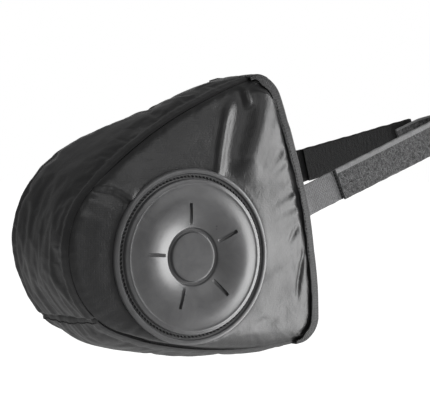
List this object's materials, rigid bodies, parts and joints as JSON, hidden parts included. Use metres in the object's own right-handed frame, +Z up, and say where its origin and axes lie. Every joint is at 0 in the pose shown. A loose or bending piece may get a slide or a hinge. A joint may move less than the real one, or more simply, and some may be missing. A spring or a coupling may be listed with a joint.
{
  "type": "rear derailleur guard",
  "caption": "Padded cloth pouch with a moulded rubber bumper disc on its outer side, open at the front, that covers a bicycle's rear derailleur and straps to the frame.",
  "frame": {"origin": "middle of the mouth, where the derailleur goes in", "axes": "+X forward out of the mouth, -Y the outer side that carries the disc, +Z up as worn"},
  "size_m": [0.3545, 0.1161, 0.204],
  "materials": {
    "shell_cloth": "coated nylon, slight sheen",
    "binding_tape": "ribbed woven tape",
    "bumper_rubber": "moulded, satin",
    "elastic_webbing": "ribbed elastic webbing",
    "loop_pile": "fuzzy loop pile",
    "plain_webbing": "plain webbing",
    "hook_pile": "moulded hooks"
  },
  "bodies": {
    "root": {"outer_side_panel": "shell_cloth", "inner_side_panel": "shell_cloth", "rear_gusset": "shell_cloth", "bottom_gusset": "shell_cloth", "mouth_binding": "binding_tape", "bumper_disc": "bumper_rubber", "near_strap": "elastic_webbing", "loop_tape": "loop_pile", "far_strap": "plain_webbing", "hook_tape": "hook_pile"}
  },
  "joints": []
}
